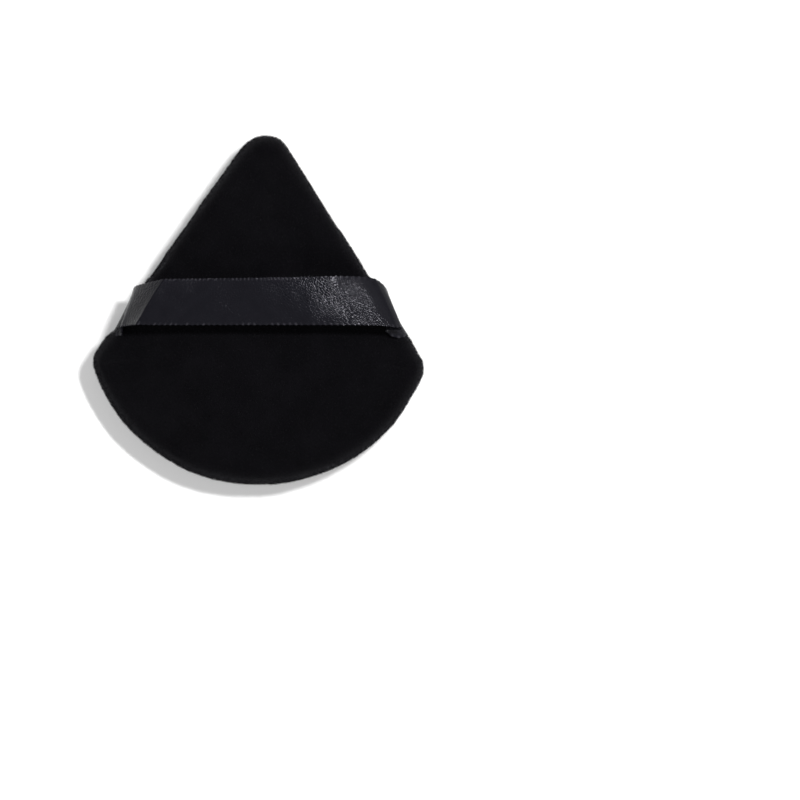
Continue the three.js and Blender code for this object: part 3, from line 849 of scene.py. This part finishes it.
def ribbon_grid():
    """The ribbon's middle surface by row and column, each row's distance from the left end, and
    each column's place from the base edge (-1) to the tip edge (1)."""
    tip, base = (smooth_curve(control_points(edge), CURVE_POINTS) for edge in (TIP_EDGE, BASE_EDGE))
    centre = (tip + base) / 2
    run = np.concatenate([[0], np.cumsum(np.linalg.norm(np.diff(centre, axis=0), axis=1))])
    rows = int(run[-1] / RIBBON_STEP) + 1
    distance = np.linspace(0, run[-1], rows)
    tip, base = (
        np.stack([np.interp(distance, run, edge[:, k]) for k in range(3)], 1)
        for edge in (tip, base)
    )
    across = np.linspace(-1, 1, RIBBON_COLUMNS)
    share = ((across + 1) / 2)[None, :, None]
    grid = base[:, None, :] * (1 - share) + tip[:, None, :] * share
    x = (base[:, 0] + tip[:, 0]) / 2
    bow = smoothstep(BEND_START, BEND_FULL, x) * (1 - smoothstep(BEND_FADE, BEND_END, x))
    grid[:, :, 0] -= BEND_BOW * bow[:, None] * (1 - across[None, :] ** 2)
    return grid, distance, across


def run_to(*places):
    """How far along the ribbon its middle line gets to each place across the puff."""
    grid, distance, across = ribbon_grid()
    middle = grid[:, len(across) // 2, 0]
    rising = slice(int(middle.argmin()), int(middle.argmax()))
    return tuple(float(value) for value in np.interp(places, middle[rising], distance[rising]))


def grid_normals(grid):
    return unit(np.cross(np.gradient(grid, axis=0), np.gradient(grid, axis=1)))


def ribbon_surfaces():
    """The top and bottom places of the whole ribbon, with its slow waves, curl and woven edges,
    and the distances of its rows and places of its columns."""
    grid, distance, across = ribbon_grid()
    height = grid[:, :, 2]
    free = np.clip((height - FREE_FROM_Z) / FREE_RISE, 0, 1)
    wave = fractal(grid.reshape(-1, 3), WAVE_SIZE, WAVE_SEED).reshape(free.shape) * WAVE_DEPTH
    curl = EDGE_CURL * across[None, :] ** 2
    middle = grid + grid_normals(grid) * ((wave + curl) * free)[:, :, None]
    normal = grid_normals(middle)
    to_edge = (1 - np.abs(across)) * RIBBON_WIDTH / 2
    selvage = np.clip(1 - to_edge / SELVAGE_WIDTH, 0, 1)[None, :]
    pick = 0.5 + 0.5 * np.sin(2 * math.pi * distance / SELVAGE_PITCH)[:, None]
    sideways = unit(np.gradient(middle, axis=1))
    scallop = selvage**2 * np.sign(across)[None, :] * (pick - 0.5) * SELVAGE_SCALLOP
    middle = middle + sideways * scallop[:, :, None]
    half = RIBBON_THICKNESS / 2 * (1 - SELVAGE_THINNING * selvage**3)
    half = half + SELVAGE_BEAD * selvage * pick
    above_seam = np.clip((height - SEAM_Z) / SEWN_RISE, 0, 1)
    half = half * (SEWN_SHARE + (1 - SEWN_SHARE) * above_seam)
    top = middle + normal * half[:, :, None]
    bottom = middle - normal * half[:, :, None]
    return top, bottom, distance, across


def ribbon_piece(name, surfaces, first, last, material):
    """A closed stretch of the ribbon from one row to another, with its own flat map in metres."""
    top, bottom, distance, across = surfaces
    rows, columns = last - first + 1, len(across)
    taken = slice(first, last + 1)
    points = np.vstack([top[taken].reshape(-1, 3), bottom[taken].reshape(-1, 3)])
    size = rows * columns
    faces = []
    for i in range(rows - 1):
        for j in range(columns - 1):
            k = i * columns + j
            faces.append((k, k + columns, k + columns + 1, k + 1))
            faces.append((size + k, size + k + 1, size + k + columns + 1, size + k + columns))
        for j, flip in ((0, False), (columns - 1, True)):
            k = i * columns + j
            face = (k, size + k, size + k + columns, k + columns)
            faces.append(face[::-1] if flip else face)
    for j in range(columns - 1):
        k = (rows - 1) * columns + j
        faces.append((j, j + 1, size + j + 1, size + j))
        faces.append((k + 1, k, size + k, size + k + 1))
    piece = make_object(name, points, faces, material)
    piece.data.set_sharp_from_angle(angle=CREASE_ANGLE)
    flat = np.meshgrid(distance[taken], across * RIBBON_WIDTH / 2, indexing="ij")
    flat = np.tile(np.stack(flat, 2).reshape(-1, 2), (2, 1))
    layer = piece.data.uv_layers.new(name="ribbon")
    corners = np.empty(len(piece.data.loops), int)
    piece.data.loops.foreach_get("vertex_index", corners)
    layer.data.foreach_set("uv", flat[corners].ravel())
    return piece


# Make the pieces and name them

velour_back = velour_cloth("velour_back", (0.0011, 0.0010, 0.0014), (0.0028, 0.0026, 0.0034))
velour_face = velour_cloth("velour_face", (0.0030, 0.0028, 0.0040), (0.0064, 0.0061, 0.0080))
pile_back = velour_pile("velour_pile_back", (0.0130, 0.0125, 0.0145))
pile_face = velour_pile("velour_pile_face", (0.0180, 0.0172, 0.0205))
satin_black = satin("satin_black")
thread_black = thread("thread_black")
foam_cream = foam("foam_cream")

covers = [
    ("back", BACK, 1, "back_cover", velour_back, pile_back),
    ("face", FACE, -1, "face_cover", velour_face, pile_face),
]
PILE_COUNT = 45000
for label, section, direction, node, cloth, fibre in covers:
    cover, outer = make_cover(f"velour_{label}_cover", section, direction, cloth)
    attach(cover, "puff")
    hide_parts(node)
    pile = make_pile(f"velour_{label}_pile", cover, outer, PILE_COUNT, direction, fibre)
    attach(pile, "puff")

foam_block = make_object("foam_block", *ring_mesh(foam_stations(), 1), foam_cream)
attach(foam_block, "puff")
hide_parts("foam_core")

threads = [
    ("seam_thread_twisted", seam_path(), SEAM_THREAD, (0, 0, 1), "seam_thread"),
    ("closing_thread_twisted", closing_path(), CLOSING_THREAD, (0, 1, 0), "closing_stitches"),
]
for name, path, shape, up, node in threads:
    line = twisted_thread(name, path, shape, up, thread_black)
    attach(line, "puff")
    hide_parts(node)
for node in ("tack_stitches_left", "tack_stitches_right"):
    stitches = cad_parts[node]
    stitches.data.materials.clear()
    stitches.data.materials.append(thread_black)

surfaces = ribbon_surfaces()
ribbon_top, ribbon_bottom, row_distance, _ = surfaces
middle_rows = (ribbon_top + ribbon_bottom).mean(1) / 2
last_row = len(middle_rows) - 1
centre_row = int(np.argmin(np.abs(middle_rows[:, 0])))
left_cut = int(np.argmax(middle_rows[:, 2] > FOOT_TOP_Z))
right_cut = last_row - int(np.argmax(middle_rows[::-1, 2] > FOOT_TOP_Z))
strap_pieces = [
    ("ribbon_foot_left", 0, left_cut, -1, ["strap_end_left"]),
    ("ribbon_arm_left", left_cut, centre_row, -1, ["strap_side_left", "strap_middle"]),
    ("ribbon_arm_right", centre_row, right_cut, 1, ["strap_side_right", "strap_middle"]),
    ("ribbon_foot_right", right_cut, last_row, 1, ["strap_end_right"]),
]
for name, first, last, side, nodes in strap_pieces:
    ribbon = ribbon_piece(name, surfaces, first, last, satin_black)
    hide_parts(*nodes)
    if "foot" in name:
        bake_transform(ribbon)
    else:
        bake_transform(ribbon)


# The photograph's view: straight down from far away, with the puff left of and above the middle

PHOTO_SIDE = 800
PHOTO_SCALE = 4.69 / MM
PHOTO_ROLL = math.radians(1.5)
PUFF_CENTRE_PX = (260.2, 309.8)
CAMERA_HEIGHT = 1.1
OUTLINE_Z = 7.6 * MM
SENSOR_WIDTH = 36.0
CLIP_START, CLIP_END = 0.05, 20.0

LIGHT_AIM = (0, 0, SEAM_Z)
LIGHTS = [  # name, place, size, power
    ("key_right", (0.175, 0.148, 0.49), (0.08, 0.035), 2.8),
    ("soft_right", (0.32, 0.25, 0.35), (0.30, 0.30), 0.34),
    ("fill_low", (-0.30, -0.35, 0.45), (0.5, 0.5), 1.5),
]
WHITE = (1, 1, 1, 1)
AMBIENT_STRENGTH = 0.28

# The floor fades into the background: its glow grows between two distances from the middle
FLOOR_REACH = 3.0
FLOOR_COLOUR = (0.86, 0.86, 0.86, 1)
FLOOR_GLOW_FROM_TO = (0.12, 0.6)
FLOOR_GLOW = (0.16, 0.9)


def make_camera():
    data = bpy.data.cameras.new("camera")
    camera = bpy.data.objects.new("camera", data)
    bpy.context.scene.collection.objects.link(camera)
    bpy.context.scene.camera = camera
    right = Vector((math.cos(PHOTO_ROLL), math.sin(PHOTO_ROLL), 0))
    up = Vector((-math.sin(PHOTO_ROLL), math.cos(PHOTO_ROLL), 0))
    across = (PHOTO_SIDE / 2 - PUFF_CENTRE_PX[0]) / PHOTO_SCALE
    down = (PHOTO_SIDE / 2 - PUFF_CENTRE_PX[1]) / PHOTO_SCALE
    camera.location = right * across - up * down + Vector((0, 0, CAMERA_HEIGHT))
    camera.rotation_euler = (0, 0, PHOTO_ROLL)
    width = PHOTO_SIDE / PHOTO_SCALE
    data.sensor_width = SENSOR_WIDTH
    data.lens = SENSOR_WIDTH * (CAMERA_HEIGHT - OUTLINE_Z) / width
    data.clip_start, data.clip_end = CLIP_START, CLIP_END


def make_light(name, place, size, power):
    data = bpy.data.lights.new(name, "AREA")
    data.shape = "RECTANGLE"
    data.size, data.size_y = size
    data.energy = power
    light = bpy.data.objects.new(name, data)
    bpy.context.scene.collection.objects.link(light)
    light.location = place
    light.rotation_euler = (Vector(LIGHT_AIM) - Vector(place)).to_track_quat("-Z", "Y").to_euler()


def background_seen(nodes, links):
    """1 for rays that see the background: from the camera, and in reflections and glass."""
    ray = nodes.new("ShaderNodeLightPath").outputs
    either = math_node(nodes, links, "MAXIMUM", ray["Is Camera Ray"], ray["Is Glossy Ray"])
    return math_node(nodes, links, "MAXIMUM", either, ray["Is Transmission Ray"])


def make_world():
    world = bpy.data.worlds.new("studio")
    bpy.context.scene.world = world
    world.use_nodes = True
    nodes, links = world.node_tree.nodes, world.node_tree.links
    background = nodes["Background"]
    background.inputs["Color"].default_value = WHITE
    seen = background_seen(nodes, links)
    strength = range_node(nodes, links, seen, (0.0, 1.0), (AMBIENT_STRENGTH, 1.0))
    links.new(strength, background.inputs["Strength"])


def make_floor():
    low, high = -FLOOR_REACH, FLOOR_REACH
    points = [(low, low, 0), (high, low, 0), (high, high, 0), (low, high, 0)]
    material, nodes, links, shader = new_material("floor_white")
    set_inputs(shader, Base_Color=FLOOR_COLOUR, Roughness=0.9, Specular_IOR_Level=0.1)
    set_inputs(shader, Emission_Color=WHITE)
    away = nodes.new("ShaderNodeVectorMath")
    away.operation = "LENGTH"
    links.new(object_place(nodes), away.inputs[0])
    glow = range_node(nodes, links, away.outputs["Value"], FLOOR_GLOW_FROM_TO, FLOOR_GLOW)
    lift = math_node(nodes, links, "MULTIPLY", background_seen(nodes, links), glow)
    links.new(lift, shader.inputs["Emission Strength"])
    floor = make_object("floor", points, [(0, 1, 2, 3)], material)


make_camera()
for light in LIGHTS:
    make_light(*light)
make_world()
make_floor()
bpy.context.scene.view_settings.view_transform = "Standard"
